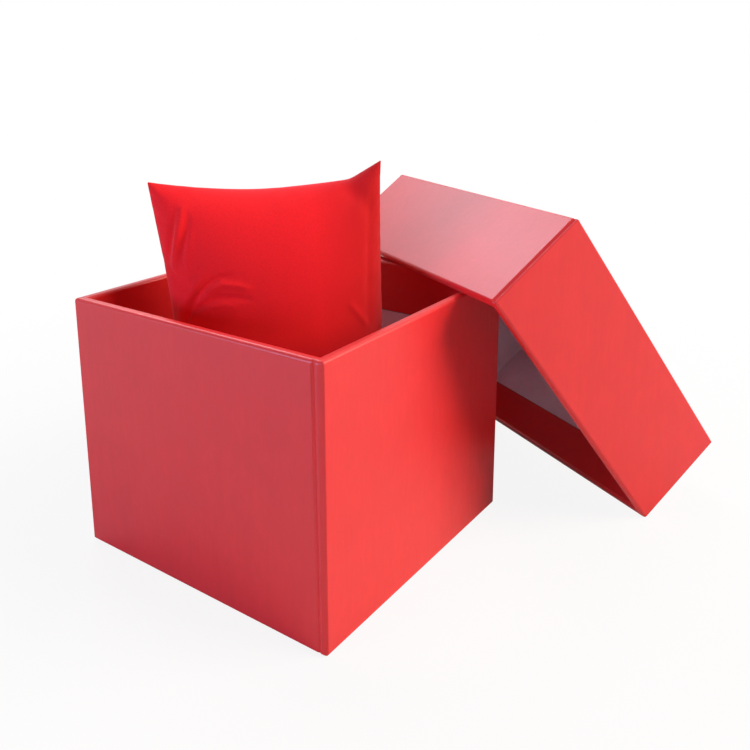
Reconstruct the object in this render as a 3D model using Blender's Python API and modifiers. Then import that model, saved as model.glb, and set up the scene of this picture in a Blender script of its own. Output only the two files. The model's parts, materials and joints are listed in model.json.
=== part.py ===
"""Square rigid gift box: an open base with a cushion standing in it, and its lift-off lid leaning
on the base's side. Metres, +Z up. The origin is the middle of the base's underside, and the walls
that face -Y and +X meet at the near corner.

Base and lid are built alike, as a set-up box is made: a greyboard blank folded up into a tray, its
corners held by gummed tapes, a red paper strip wrapped round the walls and turned in over the rim,
a sheet on the closed side that hides the strip's edge, and a pale lining inside.
"""

import math
from dataclasses import dataclass

import bmesh
import bpy
from mathutils import Matrix, Vector

# Sheet stock and glue lines
BOARD = 0.0015
PAPER = 0.00025
TAPE = 0.00015
LINER = 0.0002
GLUE = 0.0001
SEAT_GAP = 0.0003
CUT_OVERRUN = 0.001

# Base
BASE_SIDE = 0.080
BASE_HEIGHT = 0.0685
BASE_TURN_IN = 0.015

# Lid, and the way that it leans on the base
LID_HEIGHT = 0.0305
LID_PLAY = 0.0017
LID_TURN_IN = 0.012
LID_HEADING = math.radians(61.5)
LID_REST_Y = 0.017
LID_OVERHANG = 0.0148

# Wrap, shared by base and lid but for how far its upper end stops short of the corner
WRAP_ROUND = 0.0009
FOLD_ROUND = 0.0004
TURN_UNDER = 0.010
LAP_WIDTH = 0.014
BASE_SHORT_AT_RIM = 0.0032
BASE_SHORT_AT_FOLD = 0.0023
LID_SHORT_AT_RIM = 0.0021
LID_SHORT_AT_FOLD = 0.0013
SHEET_MARGIN = 0.0012
SHEET_CORNER = 0.0010
LINING_REVEAL = 0.0003

# Tray board and its corner tapes
BOARD_ROUND = 0.0005
SLIT = 0.0002
STAY_LEG = 0.012
STAY_END = 0.003
STAY_FOLD = 0.0002

# Cushion
CUSHION_WIDTH = 0.060
CUSHION_HEIGHT = 0.0955
CUSHION_THICKNESS = 0.037
CUSHION_SIDE_DRAW = 0.0021
CUSHION_TOP_SAG = 0.0042
CUSHION_FOOT_SETTLE = 0.0030
CUSHION_EAR_RISE = 0.0020
CUSHION_TURN = math.radians(45)
CUSHION_SHIFT = -0.0068
CROWN_SHARE = 0.5
VELVET = 0.0006
SEAM_GAP = 0.0003
FILLING_EDGE = 0.0030
FILLING_ROOM = 0.0006
CAGE_ACROSS = 8
CAGE_UP = 12

# Depths below the wrap's outside, from which every layer takes its place
TAPE_DEPTH = 2 * PAPER + GLUE
BOARD_DEPTH = TAPE_DEPTH + TAPE + GLUE
LINING_DEPTH = BOARD_DEPTH + BOARD + GLUE
WALL = LINING_DEPTH + PAPER
SHEET_ROOM = PAPER + GLUE
BOARD_FOOT = SHEET_ROOM + PAPER + GLUE
BOARD_FLOOR = BOARD_FOOT + BOARD
FLOOR = BOARD_FLOOR + GLUE + LINER
LID_SIDE = BASE_SIDE + 2 * (LID_PLAY + WALL)

# Colours, as sRGB hex values
RED_PAPER = "E0443F"
RED_VELVET = "D8141E"
GREYBOARD = "8C857C"
KRAFT_TAPE = "B08A5C"
PALE_LINING = "E6DDE0"
WADDING = "F2F0EC"


@dataclass
class Tray:
    """One wrapped tray, open towards its own +Z, with its closed side at z = 0.

    The wrap's ends lap on the wall that faces -Y, at the corner that lap_side names: 1 for the
    one towards +X, -1 for the one towards -X.
    """

    name: str
    side: float
    height: float
    turn_in: float
    sheet_name: str
    lap_side: int
    short_at_rim: float
    short_at_fold: float

    def half(self, depth):
        """Half the tray's width, measured this deep below the wrap's outside."""
        return self.side / 2 - depth


BASE = Tray(
    "base",
    BASE_SIDE,
    BASE_HEIGHT,
    BASE_TURN_IN,
    "foot_sheet",
    1,
    BASE_SHORT_AT_RIM,
    BASE_SHORT_AT_FOLD,
)
LID = Tray(
    "lid",
    LID_SIDE,
    LID_HEIGHT,
    LID_TURN_IN,
    "top_sheet",
    -1,
    LID_SHORT_AT_RIM,
    LID_SHORT_AT_FOLD,
)


def linear(hex_colour):
    """An sRGB hex colour as linear RGBA."""
    shares = [int(hex_colour[i : i + 2], 16) / 255 for i in (0, 2, 4)]
    curve = [s / 12.92 if s <= 0.04045 else ((s + 0.055) / 1.055) ** 2.4 for s in shares]
    return (*curve, 1.0)


def set_material(obj, hex_colour, roughness):
    material = bpy.data.materials.new(obj.name + "_material")
    material.use_nodes = True
    shader = material.node_tree.nodes["Principled BSDF"]
    shader.inputs["Base Color"].default_value = linear(hex_colour)
    shader.inputs["Roughness"].default_value = roughness
    shader.inputs["Metallic"].default_value = 0.0
    obj.data.materials.append(material)


def new_collection(name):
    collection = bpy.data.collections.new(name)
    bpy.context.scene.collection.children.link(collection)
    return collection


def object_from(bm, name, parent, collection):
    """A mesh object made from a bmesh, placed in its parent's frame."""
    mesh = bpy.data.meshes.new(name)
    bm.to_mesh(mesh)
    bm.free()
    obj = bpy.data.objects.new(name, mesh)
    obj.parent = parent
    collection.objects.link(obj)
    return obj


def new_frame(name, matrix, collection):
    """An empty that carries the pieces of one body."""
    frame = bpy.data.objects.new(name, None)
    frame.matrix_world = matrix
    collection.objects.link(frame)
    return frame


def add_solidify(obj, thickness):
    """Thickness towards the back of the faces, equal on both sides of a fold."""
    solidify = obj.modifiers.new("thickness", "SOLIDIFY")
    solidify.thickness = thickness
    solidify.offset = -1
    solidify.use_even_offset = True


def add_boolean(obj, other, operation):
    boolean = obj.modifiers.new(other.name, "BOOLEAN")
    boolean.operation = operation
    boolean.solver = "EXACT"
    boolean.object = other


def box_between(low, high):
    """A bmesh box between two opposite corners."""
    bm = bmesh.new()
    bmesh.ops.create_cube(bm, size=1)
    low, high = Vector(tuple(low)), Vector(tuple(high))
    bmesh.ops.scale(bm, vec=high - low, verts=bm.verts)
    bmesh.ops.translate(bm, vec=(low + high) / 2, verts=bm.verts)
    return bm


def helper_box(name, one, other, parent, collection):
    """A box between two corners that only cuts or joins another piece, left out of the renders."""
    low, high = map(min, one, other), map(max, one, other)
    helper = object_from(box_between(low, high), name, parent, collection)
    helper.hide_render = True
    helper.display_type = "WIRE"
    return helper


def square_loft(rings):
    """An open surface through square rings, each (half width, height). Gives the rings' vertices."""
    bm = bmesh.new()
    half, height = rings[0]
    turn = Matrix.Translation((0, 0, height)) @ Matrix.Rotation(math.pi / 4, 4, "Z")
    bmesh.ops.create_circle(bm, segments=4, radius=half * math.sqrt(2), matrix=turn)
    loops = [list(bm.verts)]
    edges = list(bm.edges)
    for next_half, next_height in rings[1:]:
        made = bmesh.ops.extrude_edge_only(bm, edges=edges)["geom"]
        verts = [item for item in made if isinstance(item, bmesh.types.BMVert)]
        ring = set(verts)
        edges = [
            item
            for item in made
            if isinstance(item, bmesh.types.BMEdge) and set(item.verts) <= ring
        ]
        bmesh.ops.scale(bm, vec=(next_half / half, next_half / half, 1), verts=verts)
        bmesh.ops.translate(bm, vec=(0, 0, next_height - height), verts=verts)
        loops.append(verts)
        half, height = next_half, next_height
    return bm, loops


def loop_edges(bm, verts):
    ring = set(verts)
    return [edge for edge in bm.edges if set(edge.verts) <= ring]


def bridging_edges(bm, lower, upper):
    low, high = set(lower), set(upper)
    return [e for e in bm.edges if set(e.verts) & low and set(e.verts) & high]


def round_edges(bm, edges, radius, segments):
    bmesh.ops.bevel(
        bm,
        geom=edges,
        offset=radius,
        offset_type="OFFSET",
        segments=segments,
        profile=0.5,
        affect="EDGES",
        clamp_overlap=True,
        material=-1,
    )


def lies_at(edge, height):
    return all(abs(vert.co.z - height) < PAPER / 2 for vert in edge.verts)


def turns_sharply(edge):
    """Whether the two faces of an edge meet at more than a half right angle."""
    return len(edge.link_faces) == 2 and edge.calc_face_angle() > math.pi / 4


def face_outwards(bm):
    """Turns an open surface over if the face farthest out along +X looks inwards."""
    outermost = max(bm.faces, key=lambda face: face.calc_center_median().x)
    if outermost.normal.x < 0:
        bmesh.ops.reverse_faces(bm, faces=bm.faces)


def make_board(tray, parent, parts, cutters):
    """The folded blank: a tray with crushed rim edges and a slit where two walls meet."""
    outside = tray.half(BOARD_DEPTH)
    inside = outside - BOARD
    top = tray.height - PAPER - GLUE
    rings = [(outside, BOARD_FOOT), (outside, top), (inside, top), (inside, BOARD_FLOOR)]
    bm, loops = square_loft(rings)
    bmesh.ops.contextual_create(bm, geom=loops[0])
    bmesh.ops.contextual_create(bm, geom=loops[3])
    round_edges(bm, loop_edges(bm, loops[1]) + loop_edges(bm, loops[2]), BOARD_ROUND, 2)
    bmesh.ops.recalc_face_normals(bm, faces=bm.faces)
    board = object_from(bm, f"{tray.name}_board", parent, parts)
    for x_side in (-1, 1):
        for y_side in (-1, 1):
            slit = helper_box(
                f"{tray.name}_slit_{'left' if x_side < 0 else 'right'}_{'front' if y_side < 0 else 'back'}",
                (x_side * inside - SLIT / 2, y_side * (inside - CUT_OVERRUN), BOARD_FLOOR),
                (x_side * inside + SLIT / 2, y_side * (outside + CUT_OVERRUN), top + CUT_OVERRUN),
                parent,
                cutters,
            )
            add_boolean(board, slit, "DIFFERENCE")
    set_material(board, GREYBOARD, 0.9)


def make_corner_stays(tray, parent, parts):
    """Four gummed tapes, each folded round one corner of the board."""
    corner = tray.half(TAPE_DEPTH)
    foot = BOARD_FOOT + STAY_END
    top = tray.height - PAPER - GLUE - STAY_END
    for index in range(4):
        bm = bmesh.new()
        places = [(corner - STAY_LEG, -corner), (corner, -corner), (corner, STAY_LEG - corner)]
        verts = [bm.verts.new((x, y, foot)) for x, y in places]
        edges = [bm.edges.new(pair) for pair in zip(verts, verts[1:])]
        made = bmesh.ops.extrude_edge_only(bm, edges=edges)["geom"]
        raised = [item for item in made if isinstance(item, bmesh.types.BMVert)]
        bmesh.ops.translate(bm, vec=(0, 0, top - foot), verts=raised)
        bend = [e for e in bm.edges if all(v.co.x == v.co.y * -1 for v in e.verts)]
        round_edges(bm, bend, STAY_FOLD, 2)
        face_outwards(bm)
        bmesh.ops.rotate(bm, matrix=Matrix.Rotation(index * math.pi / 2, 3, "Z"), verts=bm.verts)
        stay = object_from(bm, f"{tray.name}_corner_stay_{index + 1}", parent, parts)
        add_solidify(stay, TAPE)
        set_material(stay, KRAFT_TAPE, 0.8)


def make_wrap(tray, parent, parts, cutters):
    """The red strip: turned under, up the walls, over the rim and down inside, with a lapped end."""
    inner = tray.half(WALL)
    rings = [
        (tray.half(TURN_UNDER), SHEET_ROOM),
        (tray.half(0), SHEET_ROOM),
        (tray.half(0), tray.height),
        (inner, tray.height),
        (inner, tray.height - tray.turn_in),
    ]
    bm, loops = square_loft(rings)
    corners = bridging_edges(bm, loops[1], loops[2])
    rim = loop_edges(bm, loops[2]) + loop_edges(bm, loops[3])
    round_edges(bm, corners + rim, WRAP_ROUND, 3)
    fold = [e for e in bm.edges if lies_at(e, SHEET_ROOM) and turns_sharply(e)]
    round_edges(bm, fold, FOLD_ROUND, 2)
    face_outwards(bm)
    wrap = object_from(bm, f"{tray.name}_wrap", parent, parts)
    add_solidify(wrap, PAPER)

    outside = tray.half(0)
    hand = tray.lap_side
    lap = helper_box(
        f"{tray.name}_lap",
        (hand * (outside - LAP_WIDTH), PAPER / 2 - outside, SHEET_ROOM + FOLD_ROUND / 2),
        (hand * (outside - WRAP_ROUND / 2), 2 * PAPER - outside, tray.height - WRAP_ROUND / 2),
        parent,
        cutters,
    )
    step = helper_box(
        f"{tray.name}_lap_step",
        (hand * (outside - tray.short_at_rim), -outside - CUT_OVERRUN, SHEET_ROOM - CUT_OVERRUN),
        (hand * (outside + CUT_OVERRUN), PAPER - outside, tray.height - WRAP_ROUND),
        parent,
        cutters,
    )
    for vert in step.data.vertices:
        if hand * vert.co.x < outside and vert.co.z < SHEET_ROOM:
            vert.co.x = hand * (outside - tray.short_at_fold)
    add_boolean(wrap, lap, "UNION")
    add_boolean(wrap, step, "DIFFERENCE")
    wrap.data.shade_smooth()
    wrap.data.set_sharp_from_angle(angle=math.radians(40))
    set_material(wrap, RED_PAPER, 0.45)


def make_sheet(tray, parent, parts):
    """The paper over the closed side, cut a little smaller than the tray."""
    half = tray.half(SHEET_MARGIN)
    bm = box_between((-half, -half, 0), (half, half, PAPER))
    upright = [e for e in bm.edges if abs(e.verts[0].co.z - e.verts[1].co.z) > PAPER / 2]
    round_edges(bm, upright, SHEET_CORNER, 3)
    sheet = object_from(bm, f"{tray.name}_{tray.sheet_name}", parent, parts)
    set_material(sheet, RED_PAPER, 0.45)


def make_lining(tray, parent, parts):
    """Pale paper over the floor and up the walls, ending under the turned-in band."""
    half = tray.half(LINING_DEPTH)
    foot = BOARD_FLOOR + GLUE
    top = tray.height - tray.turn_in - LINING_REVEAL
    bm, loops = square_loft([(half, foot), (half, top)])
    bmesh.ops.contextual_create(bm, geom=loops[0])
    bmesh.ops.recalc_face_normals(bm, faces=bm.faces)
    face_outwards(bm)
    lining = object_from(bm, f"{tray.name}_lining", parent, parts)
    add_solidify(lining, LINER)
    set_material(lining, PALE_LINING, 0.7)


def make_tray(tray, parent, parts, cutters):
    make_board(tray, parent, parts, cutters)
    make_corner_stays(tray, parent, parts)
    make_wrap(tray, parent, parts, cutters)
    make_sheet(tray, parent, parts)
    make_lining(tray, parent, parts)


def cushion_place(u, w, edge, thickness, seat):
    """A point of one half of the cushion. u runs across and w up, both from -1 to 1; edge is how
    far the form stays inside the seam all round, and seat is the height it is flattened at."""
    half_width = CUSHION_WIDTH / 2 - edge - CUSHION_SIDE_DRAW * (1 - w * w)
    top = CUSHION_HEIGHT - edge - CUSHION_TOP_SAG * (1 - u * u) + CUSHION_EAR_RISE * u / 2
    foot = edge - CUSHION_FOOT_SETTLE * (1 - u * u)
    height = foot + (top - foot) * (w + 1) / 2
    bulge = thickness / 2 * ((1 - u * u) * (1 - w * w)) ** CROWN_SHARE
    return Vector((half_width * u, -bulge, max(height, seat)))


def cushion_cage(edge, thickness, seat, lift):
    """The cage of the cushion's near half, raised by lift from the seam plane."""
    bm = bmesh.new()
    bmesh.ops.create_grid(bm, x_segments=CAGE_ACROSS, y_segments=CAGE_UP, size=1)
    for vert in bm.verts:
        place = cushion_place(vert.co.x, vert.co.y, edge, thickness, seat)
        vert.co = place - Vector((0, lift, 0))
    bmesh.ops.recalc_face_normals(bm, faces=bm.faces)
    if sum(face.normal.y for face in bm.faces) > 0:
        bmesh.ops.reverse_faces(bm, faces=bm.faces)
    return bm


def add_subdivision(obj):
    subdivision = obj.modifiers.new("softness", "SUBSURF")
    subdivision.levels = 1
    subdivision.render_levels = 1
    subdivision.boundary_smooth = "PRESERVE_CORNERS"


def make_panel(name, turn, parent, parts):
    """One sewn fabric panel, crowned away from the seam plane."""
    bm = cushion_cage(0, CUSHION_THICKNESS, 0, SEAM_GAP / 2 + VELVET)
    if turn:
        bmesh.ops.scale(bm, vec=(1, -1, 1), verts=bm.verts)
        bmesh.ops.reverse_faces(bm, faces=bm.faces)
    panel = object_from(bm, name, parent, parts)
    add_subdivision(panel)
    add_solidify(panel, VELVET)
    panel.data.shade_smooth()
    set_material(panel, RED_VELVET, 0.75)


def make_filling(parent, parts):
    """The wadding: the same form, smaller by the fabric, mirrored over the seam plane."""
    thickness = CUSHION_THICKNESS - 2 * (VELVET + FILLING_ROOM)
    bm = cushion_cage(FILLING_EDGE, thickness, VELVET + FILLING_ROOM, 0)
    filling = object_from(bm, "cushion_filling", parent, parts)
    add_subdivision(filling)
    mirror = filling.modifiers.new("back_half", "MIRROR")
    mirror.use_axis = (False, True, False)
    mirror.merge_threshold = 0.00002
    filling.data.shade_smooth()
    set_material(filling, WADDING, 0.95)


def lid_matrix():
    """Where the lid leans: its lower rim on the ground, its upper rim on the base's two back edges.

    The upper wall's inner rim edge lies on the base's rim and the lower wall's outer rim edge on
    the ground, so the wall's thickness and its rounding come into the rim's height.
    """
    tilt = math.asin(BASE_HEIGHT / (LID_SIDE - WALL))
    ahead = Vector((math.cos(LID_HEADING), math.sin(LID_HEADING), 0))
    down_slope = ahead * math.cos(tilt) - Vector((0, 0, math.sin(tilt)))
    along_rim = Vector((-math.sin(LID_HEADING), math.cos(LID_HEADING), 0))
    lift = down_slope.cross(along_rim)
    rounding = WRAP_ROUND * (math.sin(tilt) + math.cos(tilt) - 1)
    rim_height = BASE_HEIGHT + SEAT_GAP + WALL * math.sin(tilt) - rounding
    crossing = Vector((BASE_SIDE / 2, LID_REST_Y, rim_height))
    rim_corner = crossing - along_rim * LID_OVERHANG
    middle = rim_corner + (along_rim + down_slope) * LID_SIDE / 2 + lift * LID_HEIGHT
    axes = Matrix((along_rim, down_slope, -lift)).transposed()
    return Matrix.Translation(middle) @ axes.to_4x4()


def cushion_matrix():
    """Where the cushion stands: on the base's floor, across the box from corner to corner."""
    turn = Matrix.Rotation(CUSHION_TURN, 4, "Z")
    return turn @ Matrix.Translation((CUSHION_SHIFT, 0, FLOOR + SEAT_GAP))


def clear_scene():
    for obj in list(bpy.data.objects):
        bpy.data.objects.remove(obj, do_unlink=True)


def main():
    clear_scene()
    parts = new_collection("gift_box")
    cutters = new_collection("gift_box_cutters")
    base_frame = new_frame("base_frame", Matrix.Identity(4), parts)
    lid_frame = new_frame("lid_frame", lid_matrix(), parts)
    cushion_frame = new_frame("cushion_frame", cushion_matrix(), parts)
    make_tray(BASE, base_frame, parts, cutters)
    make_tray(LID, lid_frame, parts, cutters)
    make_panel("cushion_front_panel", False, cushion_frame, parts)
    make_panel("cushion_back_panel", True, cushion_frame, parts)
    make_filling(cushion_frame, parts)


main()
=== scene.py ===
"""Looks of a square rigid gift box, in metres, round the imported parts.

An open base stands on the floor with a velvet cushion in it, and its lift-off lid leans on the
base's side. The red covers and the cushion are modelled here; the boards, corner tapes, linings
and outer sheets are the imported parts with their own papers.
"""

import json
import math
from dataclasses import dataclass

import bmesh
import bpy
from bpy.props import FloatProperty, FloatVectorProperty, PointerProperty
from mathutils import Matrix, Vector


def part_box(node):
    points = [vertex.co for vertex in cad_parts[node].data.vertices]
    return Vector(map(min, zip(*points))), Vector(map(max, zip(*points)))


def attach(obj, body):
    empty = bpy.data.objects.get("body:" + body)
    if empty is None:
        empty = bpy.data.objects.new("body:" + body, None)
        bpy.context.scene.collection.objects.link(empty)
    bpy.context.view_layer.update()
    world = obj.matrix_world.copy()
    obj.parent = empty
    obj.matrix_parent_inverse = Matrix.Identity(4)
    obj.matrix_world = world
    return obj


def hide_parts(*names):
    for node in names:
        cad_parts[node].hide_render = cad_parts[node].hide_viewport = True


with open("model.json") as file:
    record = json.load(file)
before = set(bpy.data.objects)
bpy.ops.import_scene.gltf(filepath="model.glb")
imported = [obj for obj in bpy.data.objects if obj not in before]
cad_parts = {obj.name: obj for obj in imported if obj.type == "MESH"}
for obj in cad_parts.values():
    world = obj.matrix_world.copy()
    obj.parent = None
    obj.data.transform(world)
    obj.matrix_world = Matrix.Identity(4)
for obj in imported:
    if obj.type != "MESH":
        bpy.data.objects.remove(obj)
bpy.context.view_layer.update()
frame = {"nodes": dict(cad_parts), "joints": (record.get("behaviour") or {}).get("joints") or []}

bl_info = {
    "name": "Gift Box Looks",
    "version": (1, 0, 0),
    "blender": (4, 5, 0),
    "location": "3D View > Sidebar > Gift Box",
    "description": "Covers, cushion, papers and studio of a square rigid gift box",
    "category": "Object",
}

MM = 0.001
QUARTER_TURN = math.pi / 2
# Points that lie nearer to each other than this are one point.
SAME_PLACE = 0.001 * MM

BASE_WRAP = "base_wrap"
LID_WRAP = "lid_wrap"
LID_JOINT = "lid_lift"
PANEL_NODES = ("cushion_front_panel", "cushion_back_panel")
CUSHION_NODES = (*PANEL_NODES, "cushion_filling")
BOARD_NODES = ("base_board", "lid_board")
TAPE_NODES = tuple(f"{tray}_corner_stay_{i}" for tray in ("base", "lid") for i in (1, 2, 3, 4))
SHEET_NODES = ("base_foot_sheet", "lid_top_sheet")
LINING_NODES = ("base_lining", "lid_lining")


def linear(hex_colour):
    """An sRGB hex colour as linear RGB."""
    shares = [int(hex_colour[i : i + 2], 16) / 255 for i in (0, 2, 4)]
    return tuple(s / 12.92 if s <= 0.04045 else ((s + 0.055) / 1.055) ** 2.4 for s in shares)


# Settings


def length(name, description, default):
    """A size in metres that a user can change."""
    return FloatProperty(
        name=name,
        description=description,
        default=default,
        min=0,
        precision=5,
        subtype="DISTANCE",
        unit="LENGTH",
    )


def power(name, description, default):
    """A light's power in watts that a user can change."""
    return FloatProperty(name=name, description=description, default=default, min=0, unit="POWER")


def colour(name, description, hex_colour):
    """A colour that a user can change, given as sRGB hex."""
    return FloatVectorProperty(
        name=name,
        description=description,
        default=linear(hex_colour),
        size=3,
        min=0,
        max=1,
        subtype="COLOR",
    )


class CoverSettings(bpy.types.PropertyGroup):
    """Red paper strips round the base and the lid."""

    paper: length("Paper", "Thickness of the red paper", 0.25 * MM)
    wall: length("Wall", "Wrapped wall, from the outside to the turned-in paper", 2.7 * MM)
    turn_under: length("Turn under", "Paper folded under the closed side", 10 * MM)
    base_turn_in: length("Base turn-in", "Paper folded down inside the base", 15 * MM)
    lid_turn_in: length("Lid turn-in", "Paper folded down inside the lid", 12 * MM)
    rim_round: length("Rim radius", "Rounding of the rim", 0.9 * MM)
    corner_round: length("Corner radius", "Rounding of the upright corners", 0.3 * MM)
    fold_round: length("Fold radius", "Rounding of the fold on the closed side", 0.4 * MM)
    base_crease_rim: length("Base crease, rim", "From corner to crease at the rim", 2.6 * MM)
    base_crease_fold: length("Base crease, fold", "From corner to crease at the fold", 2.1 * MM)
    base_crease_width: length("Base crease width", "Width of the crease on the flap", 1.1 * MM)
    base_crease_depth: length("Base crease depth", "Depth of the crease on the flap", 0.4 * MM)
    base_slope_width: length("Base slope width", "Width of the slope to the corner", 1.1 * MM)
    base_slope_depth: length("Base slope depth", "How far the slope falls to the corner", 0.55 * MM)
    lid_crease: length("Lid crease", "From corner to crease at rim and fold", 1.25 * MM)
    lid_crease_width: length("Lid crease width", "Width of the crease on the flap", 1.5 * MM)
    lid_crease_depth: length("Lid crease depth", "Depth of the crease on the flap", 0.6 * MM)
    lid_slope_width: length("Lid slope width", "Width of the slope to the corner", 0.4 * MM)
    lid_slope_depth: length("Lid slope depth", "How far the slope falls to the corner", 0.1 * MM)
    red: colour("Paper red", "Colour of the coated red paper", "E0282B")


class CushionSettings(bpy.types.PropertyGroup):
    """Velvet cushion, sewn from two panels and filled."""

    width: length("Width", "Width between the upper corners", 60.2 * MM)
    thickness: length("Thickness", "Thickness before the filling swells it", 31 * MM)
    slack_draw: length("Slack side", "How far this side pulls in between its corners", 2.6 * MM)
    tight_draw: length("Tight side", "How far this side pulls in between its corners", 1.9 * MM)
    top_sag: length("Top sag", "How far the upper edge sags between its corners", 3.85 * MM)
    foot_settle: length("Settling", "How far the foot is pressed flat", 3.0 * MM)
    corner_rise: length("Corner rise", "How much higher one upper corner stands", 2.7 * MM)
    lean: length("Lean", "How far the upper edge leans to the lower corner's side", 3.4 * MM)
    red: colour("Velvet red", "Colour of the velvet", "EA1C24")
    sheen: colour("Velvet sheen", "Colour of the pile where it catches the light", "FF8C92")


class PaperSettings(bpy.types.PropertyGroup):
    """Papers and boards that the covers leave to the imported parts."""

    lining: colour("Lining", "Colour of the pale lining paper", "E8DFEB")
    board: colour("Greyboard", "Colour of the recycled greyboard", "8C857C")
    tape: colour("Gummed tape", "Colour of the gummed kraft paper", "B08A5C")


class StageSettings(bpy.types.PropertyGroup):
    """Floor, lights and camera."""

    floor: colour("Floor", "Colour of the paper sweep under the box", "E0E0E0")
    key_power: power("Key light", "Power of the warm light beside the box", 12.9)
    fill_power: power("Fill light", "Power of the cool light in front of the box", 10.0)
    back_power: power("Back light", "Power of the light behind the box", 2.7)
    top_power: power("Top light", "Power of the light above the box", 1.6)
    sky: FloatProperty(
        name="Sky",
        description="Strength of the even light from all round",
        default=0.10,
        min=0,
        max=1,
        subtype="FACTOR",
    )
    lens: FloatProperty(
        name="Lens",
        description="Focal length in millimetres",
        default=40.19,
        min=1,
        unit="CAMERA",
    )


# Materials

WHITE = (1, 1, 1, 1)
# A noise mostly lies between these two values.
NOISE_LOW = 0.3
NOISE_HIGH = 0.7


def add_node(tree, kind, properties=None, **inputs):
    """Adds a node, sets its properties, and sets or links its inputs.

    An input is named by its identifier, with underscores for spaces. Its value is a number, a
    colour, an output, or a node whose first output in use feeds it.
    """
    node = tree.nodes.new(kind)
    for name, value in (properties or {}).items():
        setattr(node, name, value)
    sockets = {socket.identifier.replace(" ", "_"): socket for socket in node.inputs}
    for name, value in inputs.items():
        if isinstance(value, bpy.types.Node):
            value = next(output for output in value.outputs if output.enabled)
        if isinstance(value, bpy.types.NodeSocket):
            tree.links.new(value, sockets[name])
        else:
            sockets[name].default_value = value
    return node


def new_material(name):
    """An empty material and its node tree."""
    material = bpy.data.materials.new(name)
    material.use_nodes = True
    material.node_tree.nodes.clear()
    return material, material.node_tree


def finish_material(tree, **surface):
    """Ends a material in a Principled surface with these inputs."""
    bsdf = add_node(tree, "ShaderNodeBsdfPrincipled", **surface)
    add_node(tree, "ShaderNodeOutputMaterial", Surface=bsdf)


def tone(rgb, factor=1.0):
    """A linear colour, made lighter or darker by a factor, with full alpha."""
    return (*(min(1.0, c * factor) for c in rgb), 1.0)


def grain(tree, size, detail, stretch=(1, 1, 1)):
    """A pattern fixed to the object, with grains about size metres across.

    The grains are drawn out along an axis whose stretch is below 1.
    """
    place = add_node(tree, "ShaderNodeTexCoord").outputs["Object"]
    stretched = add_node(tree, "ShaderNodeMapping", Vector=place, Scale=stretch)
    return add_node(tree, "ShaderNodeTexNoise", Vector=stretched, Scale=1 / size, Detail=detail)


def shaded(tree, pattern, one, other, share=1.0, start=NOISE_LOW, end=NOISE_HIGH):
    """One colour that turns into another, up to a share, as a pattern goes from start to end."""
    amount = add_node(
        tree, "ShaderNodeMapRange", Value=pattern, From_Min=start, From_Max=end, To_Max=share
    )
    return add_node(
        tree,
        "ShaderNodeMix",
        {"data_type": "RGBA"},
        Factor_Float=amount,
        A_Color=one,
        B_Color=other,
    )


def coated_red_paper(red):
    """Art paper printed solid red and matt-laminated: soft gloss, faint streaks from the web."""
    material, tree = new_material("coated_red_paper")
    blotches = grain(tree, size=9 * MM, detail=3)
    streaks = grain(tree, size=2.4 * MM, detail=2, stretch=(1, 1, 0.06))
    fibres = grain(tree, size=0.9 * MM, detail=2, stretch=(1, 1, 0.25))
    # The real tooth is about 0.05 mm; it is drawn at 0.32 mm so that it shows in a render.
    tooth = grain(tree, size=0.32 * MM, detail=3)
    shade = shaded(tree, blotches, tone(red, 0.96), tone(red, 1.03))
    shade = shaded(tree, streaks, shade, tone(red, 0.86), share=0.3)
    shade = shaded(tree, fibres, shade, tone(red, 0.88), share=0.3)
    gloss = add_node(
        tree,
        "ShaderNodeMapRange",
        Value=fibres,
        From_Min=NOISE_LOW,
        From_Max=NOISE_HIGH,
        To_Min=0.34,
        To_Max=0.38,
    )
    relief = add_node(tree, "ShaderNodeBump", Height=tooth, Distance=0.02 * MM, Strength=0.35)
    relief = add_node(
        tree, "ShaderNodeBump", Height=fibres, Distance=0.03 * MM, Strength=0.25, Normal=relief
    )
    finish_material(tree, Base_Color=shade, Roughness=gloss, IOR=1.5, Normal=relief)
    return material


def pale_lining_paper(pale):
    """Uncoated wood-free paper: no gloss, a light tooth and a few darker fibres."""
    material, tree = new_material("pale_lining_paper")
    clouds = grain(tree, size=6 * MM, detail=3)
    # Real fibres are about 0.03 mm thick; they are drawn at 0.5 mm so that they show in a render.
    fibres = grain(tree, size=0.5 * MM, detail=3, stretch=(1, 0.35, 1))
    shade = shaded(tree, clouds, tone(pale, 0.95), tone(pale, 1.03))
    shade = shaded(tree, fibres, shade, tone(pale, 0.8), share=0.3, start=0.55, end=0.75)
    relief = add_node(tree, "ShaderNodeBump", Height=fibres, Distance=0.04 * MM, Strength=0.4)
    finish_material(tree, Base_Color=shade, Roughness=0.85, Normal=relief)
    return material


def recycled_greyboard(grey):
    """Greyboard pressed from waste paper: mottled grey with dark specks."""
    material, tree = new_material("recycled_greyboard")
    mottle = grain(tree, size=3 * MM, detail=4)
    specks = grain(tree, size=0.6 * MM, detail=2)
    shade = shaded(tree, mottle, tone(grey, 0.85), tone(grey, 1.12))
    shade = shaded(tree, specks, shade, tone(grey, 0.45), share=0.7, start=0.62, end=0.72)
    relief = add_node(tree, "ShaderNodeBump", Height=specks, Distance=0.05 * MM, Strength=0.5)
    finish_material(tree, Base_Color=shade, Roughness=0.92, Normal=relief)
    return material


def gummed_kraft_tape(tan):
    """Gummed kraft paper: brown, with the long pale fibres of unbleached pulp."""
    material, tree = new_material("gummed_kraft_tape")
    # Real fibres are about 0.03 mm thick; they are drawn at 0.8 mm so that they show in a render.
    fibres = grain(tree, size=0.8 * MM, detail=3, stretch=(1, 1, 0.2))
    shade = shaded(tree, fibres, tone(tan, 0.82), tone(tan, 1.12))
    relief = add_node(tree, "ShaderNodeBump", Height=fibres, Distance=0.03 * MM, Strength=0.4)
    finish_material(tree, Base_Color=shade, Roughness=0.7, Normal=relief)
    return material


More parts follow.
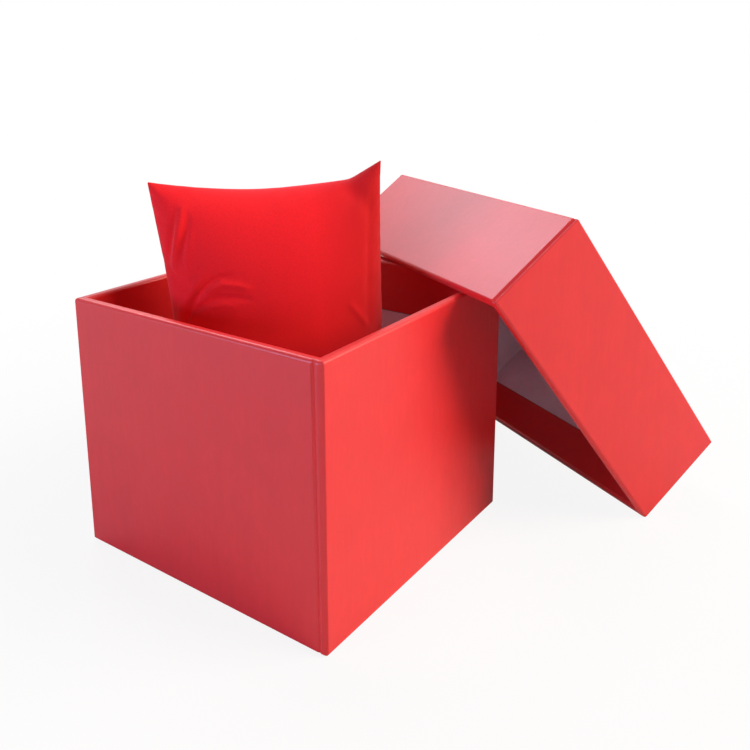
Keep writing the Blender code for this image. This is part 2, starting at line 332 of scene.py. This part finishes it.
def short_pile_velvet(red, sheen):
    """Warp-knit velvet: deep colour between the piles, a pink sheen where they catch the light.

    Its colour is painted lighter upwards and darker towards one seam: painted light and shade.
    """
    material, tree = new_material("short_pile_velvet")
    up, across = (
        add_node(tree, "ShaderNodeAttribute", {"attribute_name": name}).outputs["Fac"]
        for name in ("up", "across")
    )
    brushed = grain(tree, size=14 * MM, detail=2, stretch=(1, 1, 0.5))
    # The real pile is about 0.1 mm; it is drawn at 0.3 mm so that it shows in a render.
    pile = grain(tree, size=0.3 * MM, detail=2)
    shade = shaded(tree, brushed, tone(red, 0.92), tone(red, 1.06))
    # Painted highlight: the colour turns lighter towards the top of the cushion.
    shade = shaded(tree, up, shade, tone(red, 1.2), start=0.2, end=0.95)
    # Painted shade: the colour turns darker towards the seam on the tight side.
    shade = shaded(tree, across, shade, tone(red, 0.6), start=0.35, end=0.9)
    shade = shaded(tree, pile, shade, tone(red, 0.72), share=0.35)
    relief = add_node(tree, "ShaderNodeBump", Height=pile, Distance=0.05 * MM, Strength=0.3)
    finish_material(
        tree,
        Base_Color=shade,
        Roughness=0.8,
        Normal=relief,
        Specular_IOR_Level=0.12,
        Sheen_Weight=0.8,
        Sheen_Roughness=0.4,
        Sheen_Tint=tone(sheen),
    )
    return material


# Pieces


def dress(node_name, material):
    """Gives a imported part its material."""
    part = frame["nodes"][node_name]
    for slot in part.material_slots:
        slot.material = material


def object_from(bm, name, material):
    """A piece at the origin from a bmesh in place, with one material."""
    mesh = bpy.data.meshes.new(name)
    bm.to_mesh(mesh)
    bm.free()
    mesh.materials.append(material)
    piece = bpy.data.objects.new(name, mesh)
    bpy.context.scene.collection.objects.link(piece)
    return piece


# Covers

BASE_AXES = ((1, 0, 0), (0, 1, 0), (0, 0, 1))
CORNERS = ((1, -1), (1, 1), (-1, 1), (-1, -1))
CORNER_SEGMENTS = 4
RIM_SEGMENTS = 5
FOLD_SEGMENTS = 3
SHARP_ANGLE = math.radians(35)
# Least radius round a corner as a share of the paper, so that a corner's points stay apart.
LEAST_ROUND_SHARE = 0.1


@dataclass
class Tray:
    """A wrapped tray's own frame, open towards +Z from its fold at 0, and its size."""

    matrix: Matrix
    half: float
    height: float


@dataclass
class Lap:
    """Where a strip's ends meet, on the -Y wall near its corner at +X (side 1) or -X (side -1).

    The crease lies over the end of the flap below, at its distances from the corner at the rim
    and at the fold. The slope falls to the corner where the upper end is cut.
    """

    side: int
    crease_rim: float
    crease_fold: float
    crease_width: float
    crease_depth: float
    slope_width: float
    slope_depth: float


@dataclass
class Column:
    """A line up a strip's wall and over its rim.

    It lies at an angle round a corner, or between corners at a distance from one of them. It may
    be pressed in by a depth where it runs up the outside.
    """

    corner: tuple
    angle: float
    at_fold: float
    at_rim: float
    pressed: float


def measure_tray(node_name, axes):
    """Finds a tray's frame and size from its packed wrap and from the way its axes point."""
    turn = Matrix(axes)
    points = [turn @ vert.co for vert in frame["nodes"][node_name].data.vertices]
    low = Vector([min(point[i] for point in points) for i in range(3)])
    high = Vector([max(point[i] for point in points) for i in range(3)])
    middle = Vector(((low.x + high.x) / 2, (low.y + high.y) / 2, low.z))
    back = turn.transposed()
    matrix = Matrix.Translation(back @ middle) @ back.to_4x4()
    return Tray(matrix, (high.x - low.x) / 2, high.z - low.z)


def lid_axes():
    """The lid's axes: along its upper rim, down its slope, and out of its mouth."""
    joint = next(j for j in frame["joints"] if j["name"] == LID_JOINT)
    mouth = -Vector(joint["axis"]).normalized()
    along = Vector((mouth.y, -mouth.x, 0)).normalized()
    return (along, mouth.cross(along), mouth)


def lap_columns(corner, lap):
    """The lines of the lap along the -Y wall, from its middle to its corner."""
    half_crease = lap.crease_width / 2
    columns = []
    for shift, pressed in ((half_crease, 0), (0, lap.crease_depth), (-half_crease, 0)):
        at_fold, at_rim = lap.crease_fold + shift, lap.crease_rim + shift
        columns.append(Column(corner, -QUARTER_TURN, at_fold, at_rim, pressed))
    columns.append(Column(corner, -QUARTER_TURN, lap.slope_width, lap.slope_width, 0))
    return columns


def strip_columns(lap):
    """All lines of a strip, once round the tray."""
    columns = []
    for quarter, corner in enumerate(CORNERS):
        lapped = corner == (lap.side, -1)
        pressed = lap.slope_depth if lapped else 0
        lines = lap_columns(corner, lap) if lapped else []
        if lap.side > 0:
            columns.extend(lines)
        for step in range(CORNER_SEGMENTS + 1):
            angle = (quarter - 1 + step / CORNER_SEGMENTS) * QUARTER_TURN
            columns.append(Column(corner, angle, 0, 0, pressed))
        if lap.side < 0:
            columns.extend(reversed(lines))
    return columns


def arc_rings(middle_half, middle_height, radius, start, end, segments):
    """Rings along an arc, each (half width, height, share that faces outwards)."""
    angles = [start + (end - start) * step / segments for step in range(segments + 1)]
    return [
        (
            middle_half + radius * math.cos(angle),
            middle_height + radius * math.sin(angle),
            max(0, math.cos(angle)),
        )
        for angle in angles
    ]


def strip_rings(tray, turn_in, cover):
    """The strip's course: under the tray, up outside, over the rim and down inside."""
    inner = tray.half - cover.wall
    fold, rim = cover.fold_round, cover.rim_round
    top = tray.height - rim
    return [
        (tray.half - cover.turn_under, 0, 0),
        *arc_rings(tray.half - fold, fold, fold, -QUARTER_TURN, 0, FOLD_SEGMENTS),
        *arc_rings(tray.half - rim, top, rim, 0, QUARTER_TURN, RIM_SEGMENTS),
        *arc_rings(inner + rim, top, rim, QUARTER_TURN, 2 * QUARTER_TURN, RIM_SEGMENTS),
        (inner, tray.height - turn_in, 0),
    ]


def strip_point(column, ring, tray, cover):
    """A point of the strip, where a line crosses a ring."""
    half, height, outward = ring
    least_round = cover.paper * LEAST_ROUND_SHARE
    radius = max(cover.corner_round - (tray.half - half), least_round)
    x_side, y_side = column.corner
    point = Vector((x_side * (half - radius), y_side * (half - radius), height))
    if column.at_fold:
        along = column.at_fold + (column.at_rim - column.at_fold) * height / tray.height
        point.x -= x_side * (along - cover.corner_round)
        point.y -= radius
    else:
        point += radius * Vector((math.cos(column.angle), math.sin(column.angle), 0))
    point.y += column.pressed * outward
    return point


def strip_form(tray, turn_in, lap, cover):
    """A strip bent round its tray from a grid, as a sheet that faces outwards."""
    columns = strip_columns(lap)
    rings = strip_rings(tray, turn_in, cover)
    last_ring = len(rings) - 1
    bm = bmesh.new()
    bmesh.ops.create_grid(bm, x_segments=len(columns), y_segments=last_ring, size=1)
    for vert in bm.verts:
        across = round((vert.co.x + 1) / 2 * len(columns)) % len(columns)
        up = round((vert.co.y + 1) / 2 * last_ring)
        vert.co = strip_point(columns[across], rings[up], tray, cover)
    bmesh.ops.remove_doubles(bm, verts=bm.verts, dist=SAME_PLACE)
    bmesh.ops.recalc_face_normals(bm, faces=bm.faces)
    outermost = max(bm.faces, key=lambda face: face.calc_center_median().x)
    if outermost.normal.x < 0:
        bmesh.ops.reverse_faces(bm, faces=bm.faces)
    bmesh.ops.transform(bm, matrix=tray.matrix, verts=bm.verts)
    return bm


def make_cover(name, form, paper, material):
    """One red strip, given the thickness of its paper inwards."""
    piece = object_from(form, name, material)
    piece.data.shade_smooth()
    piece.data.set_sharp_from_angle(angle=SHARP_ANGLE)
    solidify = piece.modifiers.new("paper", "SOLIDIFY")
    solidify.thickness = paper
    solidify.offset = -1
    solidify.use_even_offset = True
    flatten = piece.modifiers.new("flat walls", "WEIGHTED_NORMAL")
    flatten.keep_sharp = True
    return piece


# Cushion

# The cloth is swelled at ten times its size, and is made small again afterwards.
SIM_SCALE = 10
SIM_FRAMES = 30
# The farthest that the filling moves a point.
SIM_REACH = 6 * MM
# How the cloth gives; the negative shrinking is slack.
CLOTH = {
    "quality": 6,
    "mass": 0.3,
    "air_damping": 3,
    "tension_stiffness": 20,
    "compression_stiffness": 20,
    "shear_stiffness": 7,
    "bending_stiffness": 0.5,
    "tension_damping": 25,
    "compression_damping": 25,
    "shear_damping": 25,
    "shrink_min": -0.004,
    "use_pressure": True,
    "uniform_pressure_force": 2.0,
}
GRID_ACROSS = 40
GRID_UP = 64
SMOOTH_LEVELS = 2
CUSHION_TURN = math.radians(45)
# How softly the foot bends where it leaves the floor.
FOOT_SOFTNESS = 0.5 * MM

# Exponents of the curves: of the crown, of the slack and the tight side, of the upper edge, and
# of a fold's fade towards its ends.
CROWN_CURVE = 0.5
SLACK_CURVE = 1.5
TIGHT_CURVE = 0.8
SAG_CURVE = 1.6
FADE_CURVE = 0.7

# The upper corner that stands up: the share of the half width where it starts, and the shares of
# the sag that the upper edge has there and at the tip, where a share below 0 rises.
EAR_START_SHARE = 0.72
EAR_SAG_SHARE = 0.8
EAR_TIP_SHARE = -0.35

# A fold ends at this many times its breadth.
FOLD_REACH = 3


@dataclass
class Fold:
    """A crest (height above 0) or valley on the near panel.

    It runs along points whose shares go across and up the panel, from -1 to 1.
    """

    breadth: float
    height: float
    shares: tuple


FOLDS = (
    # Pleats beside one seam.
    Fold(0.7 * MM, -0.6 * MM, ((-0.78, 0.89), (-0.847, 0.771), (-0.944, 0.604), (-0.98, 0.54))),
    Fold(0.8 * MM, 0.75 * MM, ((-0.71, 0.91), (-0.762, 0.818), (-0.876, 0.612), (-0.91, 0.53))),
    Fold(0.7 * MM, -0.55 * MM, ((-0.68, 0.87), (-0.716, 0.785), (-0.796, 0.66), (-0.83, 0.6))),
    Fold(0.8 * MM, 0.3 * MM, ((-0.68, 0.8), (-0.705, 0.728), (-0.751, 0.62), (-0.77, 0.55))),
    # A fan of folds that rises from the corner of the base.
    Fold(
        0.8 * MM,
        0.55 * MM,
        ((-0.96, 0.25), (-0.893, 0.345), (-0.784, 0.438), (-0.68, 0.527), (-0.6, 0.59)),
    ),
    Fold(
        0.65 * MM,
        -0.9 * MM,
        (
            (-0.9, 0.24),
            (-0.827, 0.345),
            (-0.705, 0.456),
            (-0.604, 0.518),
            (-0.494, 0.562),
            (-0.36, 0.575),
        ),
    ),
    Fold(
        0.8 * MM,
        0.6 * MM,
        ((-0.7, 0.4), (-0.604, 0.483), (-0.479, 0.527), (-0.347, 0.527), (-0.22, 0.51)),
    ),
    Fold(
        0.65 * MM,
        -0.8 * MM,
        (
            (-0.9, 0.26),
            (-0.816, 0.335),
            (-0.668, 0.41),
            (-0.522, 0.456),
            (-0.362, 0.465),
            (-0.22, 0.455),
        ),
    ),
    Fold(
        0.8 * MM,
        0.4 * MM,
        ((-0.76, 0.29), (-0.692, 0.354), (-0.604, 0.401), (-0.494, 0.42), (-0.36, 0.415)),
    ),
    # The other side: a valley along the seam, and a short crest near the foot.
    Fold(
        1.2 * MM,
        -0.3 * MM,
        ((0.9, 0.93), (0.866, 0.743), (0.837, 0.518), (0.816, 0.278), (0.8, 0.05)),
    ),
    Fold(0.8 * MM, 0.35 * MM, ((0.6, 0.39), (0.692, 0.307), (0.773, 0.229), (0.85, 0.15))),
    # Under the corner that stands up.
    Fold(1.8 * MM, -0.5 * MM, ((0.60, 0.99), (0.80, 0.88), (0.92, 0.70))),
)


def on_panel(across, up, half_size):
    """A point of the flat panel in metres, from its shares."""
    return Vector((across * half_size.x, up * half_size.y))


def fold_lift(fold, path, point):
    """How far a fold lifts a point of the panel."""
    nearest = (math.inf, 0)
    run = 0
    for start, end in zip(path, path[1:]):
        step = end - start
        share_along = min(1, max(0, (point - start).dot(step) / step.length_squared))
        distance = (point - start - step * share_along).length
        nearest = min(nearest, (distance, run + share_along * step.length))
        run += step.length
    distance, along = nearest
    if distance > FOLD_REACH * fold.breadth:
        return 0
    fade = math.sin(math.pi * min(1, max(0, along / run))) ** FADE_CURVE
    return fold.height * fade * math.exp(-((distance / fold.breadth) ** 2))


def press_folds(piece, half_size):
    """Presses the folds into the near panel, along its normals."""
    mesh = piece.data
    across, up = (mesh.attributes[name].data for name in ("across", "up"))
    paths = [[on_panel(*place, half_size) for place in fold.shares] for fold in FOLDS]
    lifts = []
    for vert, u, w in zip(mesh.vertices, across, up):
        lift = 0
        if vert.normal.y < 0:
            point = on_panel(u.value, w.value, half_size)
            lift = sum(fold_lift(fold, path, point) for fold, path in zip(FOLDS, paths))
        lifts.append(vert.normal * lift)
    for vert, lift in zip(mesh.vertices, lifts):
        vert.co += lift


def sag_share(u):
    """Sag of the upper edge: a slow curve on one side, and a corner that stands up."""
    if u < 0:
        return 1 - abs(u) ** SAG_CURVE
    if u < EAR_START_SHARE:
        return 1 - (1 - EAR_SAG_SHARE) * (u / EAR_START_SHARE) ** 2
    return EAR_TIP_SHARE + (EAR_SAG_SHARE - EAR_TIP_SHARE) * (1 - u) / (1 - EAR_START_SHARE)


def cushion_point(u, w, height, cushion):
    """A point of the cushion's near half; u runs across and w up, both from -1 to 1."""
    rise = (w + 1) / 2
    if u < 0:
        draw = cushion.slack_draw * (1 - w * w) ** SLACK_CURVE
    else:
        draw = cushion.tight_draw * (1 - w * w) ** TIGHT_CURVE
    half_width = cushion.width / 2 - draw
    across = half_width * u + cushion.lean * (1 - rise * rise)
    top = height - cushion.top_sag * sag_share(u) + cushion.corner_rise * u / 2
    foot = -cushion.foot_settle * (1 - u * u)
    bulge = cushion.thickness / 2 * ((1 - u * u) * (1 - w * w)) ** CROWN_CURVE
    return Vector((across, -bulge, foot + (top - foot) * rise))


def towards_edges(value):
    """Moves a grid's lines a little towards its borders, where the seam bends the cloth most."""
    return (value + math.sin(value * QUARTER_TURN)) / 2


def cushion_form(height, cushion):
    """The two panels sewn together: a closed mesh that carries each point's shares."""
    bm = bmesh.new()
    across = bm.verts.layers.float.new("across")
    up = bm.verts.layers.float.new("up")
    bmesh.ops.create_grid(bm, x_segments=GRID_ACROSS, y_segments=GRID_UP, size=1)
    for vert in bm.verts:
        u, w = towards_edges(vert.co.x), towards_edges(vert.co.y)
        vert[across], vert[up] = u, w
        vert.co = cushion_point(u, w, height, cushion)
    everything = [*bm.verts, *bm.edges, *bm.faces]
    bmesh.ops.mirror(
        bm, geom=everything, matrix=Matrix.Identity(4), merge_dist=SAME_PLACE, axis="Y"
    )
    bmesh.ops.recalc_face_normals(bm, faces=bm.faces)
    if bm.calc_volume(signed=True) < 0:
        bmesh.ops.reverse_faces(bm, faces=bm.faces)
    return bm


def fill(piece):
    """Swells the two panels between their seams with cloth, and keeps the result."""
    rest = [vert.co.copy() for vert in piece.data.vertices]
    seam = piece.vertex_groups.new(name="seam")
    seam.add([i for i, co in enumerate(rest) if abs(co.y) < SAME_PLACE], 1.0, "REPLACE")
    piece.data.transform(Matrix.Scale(SIM_SCALE, 4))
    filling = piece.modifiers.new("filling", "CLOTH")
    for name, value in CLOTH.items():
        setattr(filling.settings, name, value)
    filling.settings.vertex_group_mass = seam.name
    filling.settings.effector_weights.gravity = 0
    filling.collision_settings.use_collision = False
    filling.point_cache.frame_start = 1
    filling.point_cache.frame_end = SIM_FRAMES
    for number in range(1, SIM_FRAMES + 1):
        bpy.context.scene.frame_set(number)
    graph = bpy.context.evaluated_depsgraph_get()
    swelled = bpy.data.meshes.new_from_object(piece.evaluated_get(graph))
    if len(swelled.vertices) != len(rest):
        raise RuntimeError("the cushion's simulation changed its mesh")
    for vert, start in zip(swelled.vertices, rest):
        moved = vert.co / SIM_SCALE - start
        way = max(moved.length, SAME_PLACE)
        vert.co = start + moved * (SIM_REACH * math.tanh(way / SIM_REACH) / way)
    piece.modifiers.clear()
    piece.vertex_groups.clear()
    piece.data = swelled


def smooth(piece):
    """Subdivides a piece and keeps the result."""
    soft = piece.modifiers.new("soft", "SUBSURF")
    soft.levels = SMOOTH_LEVELS
    soft.render_levels = SMOOTH_LEVELS
    graph = bpy.context.evaluated_depsgraph_get()
    finer = bpy.data.meshes.new_from_object(piece.evaluated_get(graph))
    piece.modifiers.clear()
    piece.data = finer


def flatten_foot(piece):
    """Presses what hangs below the foot up to the floor, with a soft bend."""
    for vert in piece.data.vertices:
        vert.co.z = (vert.co.z + math.sqrt(vert.co.z**2 + FOOT_SOFTNESS**2)) / 2


def make_cushion(cushion, material):
    """The filled cushion, where its packed panels stand."""
    low = Vector(map(min, *(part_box(node)[0] for node in PANEL_NODES)))
    high = Vector(map(max, *(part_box(node)[1] for node in PANEL_NODES)))
    height = high.z - low.z
    piece = object_from(cushion_form(height, cushion), "cushion", material)
    fill(piece)
    smooth(piece)
    press_folds(piece, Vector((cushion.width / 2, height / 2)))
    flatten_foot(piece)
    foot = (low + high) / 2
    foot.z = low.z
    piece.data.transform(Matrix.Translation(foot) @ Matrix.Rotation(CUSHION_TURN, 4, "Z"))
    piece.data.shade_smooth()
    return piece


# Stage

FLOOR_SIZE = 6.0
# The floor lies a hair below the box, so that the two don't share a plane.
FLOOR_LEVEL = -0.05 * MM
# The floor is part white and part paper up to a distance from the middle of the base, and turns
# all white from there to a second one, which is farther off in reflections than for the camera.
SWEEP_START = 0.07
CAMERA_WHITE_END = 0.26
GLOSS_WHITE_END = 0.6
CAMERA_WHITE_SHARE = 0.89
GLOSS_WHITE_SHARE = 0.15

CAMERA_PLACE = (137.48 * MM, -164.19 * MM, 128.57 * MM)
CAMERA_AIM = (-7.16 * MM, 31.98 * MM, 72.93 * MM)
CAMERA_ROLL = math.radians(-0.488)
CAMERA_SHIFT = (0.04, -0.1733)
CAMERA_CLIP = 10 * MM
# The sensor is given in millimetres, as the lens is.
SENSOR_WIDTH = 36.0


@dataclass
class SoftBox:
    """A square soft light: where it stands, the point it looks at, its side and its tint."""

    place: tuple
    aim: tuple
    side: float
    tint: str


IN_BASE = (0, 0, 0.04)
ON_LID = (0.03, 0.04, 0.08)
SOFT_BOXES = {
    "key": SoftBox((0.74, 0.375, 0.60), IN_BASE, 0.62, "FFF1DF"),
    "fill": SoftBox((-0.36, -0.92, 0.08), IN_BASE, 0.42, "BEC9FF"),
    "back": SoftBox((-0.61, 0.265, 0.72), ON_LID, 0.32, "EEF0FF"),
    "top": SoftBox((-0.20, 0.15, 0.96), IN_BASE, 0.3, "FFFFFF"),
}


def white_sweep(floor):
    """Matt white paper sweep: a soft shadow near the box, and plain white further off."""
    material, tree = new_material("white_sweep")
    ray = add_node(tree, "ShaderNodeLightPath")
    place = add_node(tree, "ShaderNodeTexCoord").outputs["Object"]
    distance = add_node(tree, "ShaderNodeVectorMath", {"operation": "LENGTH"}, Vector=place)
    seen_white = []
    for kind, end, share in (
        ("Is Camera Ray", CAMERA_WHITE_END, CAMERA_WHITE_SHARE),
        ("Is Glossy Ray", GLOSS_WHITE_END, GLOSS_WHITE_SHARE),
    ):
        amount = add_node(
            tree,
            "ShaderNodeMapRange",
            Value=distance,
            From_Min=SWEEP_START,
            From_Max=end,
            To_Min=share,
            To_Max=1,
        )
        seen_white.append(
            add_node(
                tree,
                "ShaderNodeMath",
                {"operation": "MULTIPLY"},
                Value=ray.outputs[kind],
                Value_001=amount,
            )
        )
    most = add_node(
        tree,
        "ShaderNodeMath",
        {"operation": "MAXIMUM"},
        Value=seen_white[0],
        Value_001=seen_white[1],
    )
    paper = add_node(tree, "ShaderNodeBsdfDiffuse", Color=tone(floor))
    white = add_node(tree, "ShaderNodeEmission", Color=WHITE, Strength=1)
    both = add_node(tree, "ShaderNodeMixShader", Fac=most, Shader=paper, Shader_001=white)
    add_node(tree, "ShaderNodeOutputMaterial", Surface=both)
    return material


def make_world(sky):
    """A white room: full white to a camera or glossy ray, and soft light for the rest."""
    world = bpy.data.worlds.new("white_room")
    world.use_nodes = True
    tree = world.node_tree
    tree.nodes.clear()
    ray = add_node(tree, "ShaderNodeLightPath")
    seen = ray.outputs["Is Camera Ray"]
    for kind in ("Is Glossy Ray", "Is Transmission Ray"):
        seen = add_node(
            tree,
            "ShaderNodeMath",
            {"operation": "MAXIMUM"},
            Value=seen,
            Value_001=ray.outputs[kind],
        )
    light = add_node(tree, "ShaderNodeBackground", Color=WHITE, Strength=sky)
    white = add_node(tree, "ShaderNodeBackground", Color=WHITE, Strength=1)
    both = add_node(tree, "ShaderNodeMixShader", Fac=seen, Shader=light, Shader_001=white)
    add_node(tree, "ShaderNodeOutputWorld", Surface=both)
    bpy.context.scene.world = world


def add_light(name, box, power_watts):
    """A soft box as an area light."""
    lamp = bpy.data.lights.new(name, "AREA")
    lamp.energy = power_watts
    lamp.size = box.side
    lamp.color = linear(box.tint)
    light = bpy.data.objects.new(name, lamp)
    light.location = box.place
    back = Vector(box.place) - Vector(box.aim)
    light.rotation_euler = back.to_track_quat("Z", "Y").to_euler()
    bpy.context.scene.collection.objects.link(light)


def make_camera(lens):
    """The camera, placed so that the base's edges lie as in the photograph."""
    camera = bpy.data.cameras.new("camera")
    camera.lens = lens
    camera.sensor_width = SENSOR_WIDTH
    camera.shift_x, camera.shift_y = CAMERA_SHIFT
    camera.clip_start = CAMERA_CLIP
    view = bpy.data.objects.new("camera", camera)
    view.location = CAMERA_PLACE
    back = Vector(CAMERA_PLACE) - Vector(CAMERA_AIM)
    turn = back.to_track_quat("Z", "Y").to_matrix() @ Matrix.Rotation(CAMERA_ROLL, 3, "Z")
    view.rotation_euler = turn.to_euler()
    bpy.context.scene.collection.objects.link(view)
    bpy.context.scene.camera = view


# Operators and panel


class GIFTBOX_OT_covers(bpy.types.Operator):
    """Wrap the base and the lid in red paper"""

    bl_idname = "giftbox.covers"
    bl_label = "Paper Covers"

    def execute(self, context):
        cover = context.scene.gift_box_cover
        red_paper = coated_red_paper(tuple(cover.red))
        base_lap = Lap(
            side=1,
            crease_rim=cover.base_crease_rim,
            crease_fold=cover.base_crease_fold,
            crease_width=cover.base_crease_width,
            crease_depth=cover.base_crease_depth,
            slope_width=cover.base_slope_width,
            slope_depth=cover.base_slope_depth,
        )
        lid_lap = Lap(
            side=-1,
            crease_rim=cover.lid_crease,
            crease_fold=cover.lid_crease,
            crease_width=cover.lid_crease_width,
            crease_depth=cover.lid_crease_depth,
            slope_width=cover.lid_slope_width,
            slope_depth=cover.lid_slope_depth,
        )
        base_tray = measure_tray(BASE_WRAP, BASE_AXES)
        base_form = strip_form(base_tray, cover.base_turn_in, base_lap, cover)
        base = make_cover("base_cover", base_form, cover.paper, red_paper)
        lid_tray = measure_tray(LID_WRAP, lid_axes())
        lid_form = strip_form(lid_tray, cover.lid_turn_in, lid_lap, cover)
        lid = make_cover("lid_cover", lid_form, cover.paper, red_paper)
        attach(base, "base")
        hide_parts(BASE_WRAP)
        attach(lid, "lid")
        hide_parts(LID_WRAP)
        for node in SHEET_NODES:
            dress(node, red_paper)
        return {"FINISHED"}


class GIFTBOX_OT_cushion(bpy.types.Operator):
    """Sew and fill the velvet cushion"""

    bl_idname = "giftbox.cushion"
    bl_label = "Velvet Cushion"

    def execute(self, context):
        cushion = context.scene.gift_box_cushion
        velvet = short_pile_velvet(tuple(cushion.red), tuple(cushion.sheen))
        piece = make_cushion(cushion, velvet)
        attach(piece, "cushion")
        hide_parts(*CUSHION_NODES)
        return {"FINISHED"}


class GIFTBOX_OT_papers(bpy.types.Operator):
    """Give the boards, corner tapes and linings their papers"""

    bl_idname = "giftbox.papers"
    bl_label = "Boards and Linings"

    def execute(self, context):
        papers = context.scene.gift_box_papers
        board = recycled_greyboard(tuple(papers.board))
        tape = gummed_kraft_tape(tuple(papers.tape))
        lining = pale_lining_paper(tuple(papers.lining))
        for node in BOARD_NODES:
            dress(node, board)
        for node in TAPE_NODES:
            dress(node, tape)
        for node in LINING_NODES:
            dress(node, lining)
        return {"FINISHED"}


class GIFTBOX_OT_stage(bpy.types.Operator):
    """Set up the floor, the lights and the camera"""

    bl_idname = "giftbox.stage"
    bl_label = "Studio"

    def execute(self, context):
        stage = context.scene.gift_box_stage
        bm = bmesh.new()
        bmesh.ops.create_grid(bm, x_segments=1, y_segments=1, size=FLOOR_SIZE / 2)
        bmesh.ops.translate(bm, vec=(0, 0, FLOOR_LEVEL), verts=bm.verts)
        object_from(bm, "floor", white_sweep(tuple(stage.floor)))
        make_world(stage.sky)
        for name, box in SOFT_BOXES.items():
            add_light(name, box, getattr(stage, f"{name}_power"))
        make_camera(stage.lens)
        context.scene.view_settings.view_transform = "Standard"
        return {"FINISHED"}


# Each step's settings on the scene, their group, and the operator that reads them.
STEPS = (
    ("gift_box_cover", CoverSettings, GIFTBOX_OT_covers),
    ("gift_box_cushion", CushionSettings, GIFTBOX_OT_cushion),
    ("gift_box_papers", PaperSettings, GIFTBOX_OT_papers),
    ("gift_box_stage", StageSettings, GIFTBOX_OT_stage),
)


class GIFTBOX_PT_panel(bpy.types.Panel):
    """Lists the settings and the steps that dress the gift box"""

    bl_idname = "GIFTBOX_PT_panel"
    bl_label = "Gift Box"
    bl_space_type = "VIEW_3D"
    bl_region_type = "UI"
    bl_category = "Gift Box"

    def draw(self, context):
        for name, group, operator in STEPS:
            column = self.layout.column()
            for setting in group.__annotations__:
                column.prop(getattr(context.scene, name), setting)
            column.operator(operator.bl_idname)


def register():
    for name, group, operator in STEPS:
        bpy.utils.register_class(group)
        bpy.utils.register_class(operator)
        setattr(bpy.types.Scene, name, PointerProperty(type=group))
    bpy.utils.register_class(GIFTBOX_PT_panel)


def unregister():
    bpy.utils.unregister_class(GIFTBOX_PT_panel)
    for name, group, operator in reversed(STEPS):
        delattr(bpy.types.Scene, name)
        bpy.utils.unregister_class(operator)
        bpy.utils.unregister_class(group)


def main():
    """Dresses the box step by step."""
    register()
    bpy.ops.giftbox.covers()
    bpy.ops.giftbox.cushion()
    bpy.ops.giftbox.papers()
    bpy.ops.giftbox.stage()


if __name__ == "__main__":
    main()
